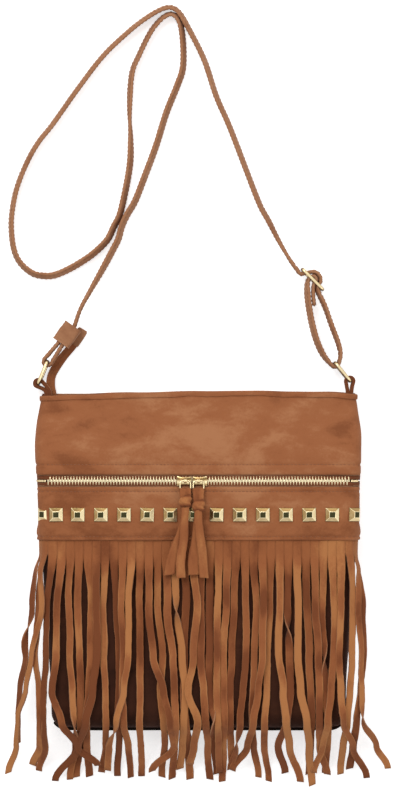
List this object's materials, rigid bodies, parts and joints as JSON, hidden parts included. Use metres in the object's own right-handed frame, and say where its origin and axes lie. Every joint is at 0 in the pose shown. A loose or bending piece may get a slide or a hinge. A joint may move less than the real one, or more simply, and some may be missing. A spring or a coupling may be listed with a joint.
{
  "type": "fringed suede bag",
  "caption": "Soft suede shoulder bag with a cut fringe, a stud row, a two-slider front zip with suede ties, and a buckled strap.",
  "frame": {"origin": "middle of the flat back face that the bag rests on", "axes": "+X to the bag's right as the front is seen, +Y from its base to its mouth and strap, +Z out of its front"},
  "size_m": [0.3489, 0.7049, 0.0619],
  "materials": {
    "suede": "soft tan suede with a fine nap",
    "fringe_suede": "red-brown suede, cut into strands",
    "strap_suede": "tan suede band",
    "piping": "near black cord",
    "lining_cloth": "plain brown cloth",
    "zip_tape": "brown woven tape",
    "gold": "bright light gold plating"
  },
  "bodies": {
    "bag": {"front_panel": "suede", "back_panel": "suede", "front_upper_panel": "suede", "stud_band": "suede", "rim_front": "suede", "rim_back": "suede", "fringe": "fringe_suede", "strap": "strap_suede", "strap_keeper": "strap_suede", "tab_left": "strap_suede", "tab_right": "strap_suede", "bottom_piping": "piping", "lining_front": "lining_cloth", "lining_back": "lining_cloth", "front_zip_upper": "zip_tape", "front_zip_lower": "zip_tape", "main_zip_front": "zip_tape", "main_zip_back": "zip_tape", "zip_end_tab": "zip_tape", "front_zip_stop_left": "gold", "front_zip_stop_right": "gold", "main_zip_slider": "gold", "ring_left": "gold", "ring_right": "gold", "slide_buckle_frame": "gold", "slide_buckle_bar": "gold", "stud_01": "gold", "stud_02": "gold", "stud_03": "gold", "stud_04": "gold", "stud_05": "gold", "stud_06": "gold", "stud_07": "gold", "stud_08": "gold", "stud_09": "gold", "stud_10": "gold", "stud_11": "gold", "stud_12": "gold", "stud_13": "gold", "stud_14": "gold", "stud_15": "gold"},
    "slider_left": {"front_zip_slider_left": "gold"},
    "slider_right": {"front_zip_slider_right": "gold"},
    "pull_left": {"pull_ring_left": "gold", "tassel_left": "suede", "tail_left_over": "suede", "tail_left_under": "suede"},
    "pull_right": {"pull_ring_right": "gold", "tassel_right": "suede", "tail_right_over": "suede", "tail_right_under": "suede"}
  },
  "joints": [
    {"name": "zip_left", "type": "slide", "parent": "bag", "child": "slider_left", "axis": [-1, 0, 0], "range_m": [0, 0.105]},
    {"name": "zip_right", "type": "slide", "parent": "bag", "child": "slider_right", "axis": [1, 0, 0], "range_m": [0, 0.115]},
    {"name": "pull_left_swing", "type": "hinge", "parent": "slider_left", "child": "pull_left", "pos_m": [-0.0116, 0.072, 0.0536], "axis": [-1, 0, 0], "range_deg": [0, 150]},
    {"name": "pull_right_swing", "type": "hinge", "parent": "slider_right", "child": "pull_right", "pos_m": [0, 0.072, 0.0536], "axis": [-1, 0, 0], "range_deg": [0, 150]}
  ]
}
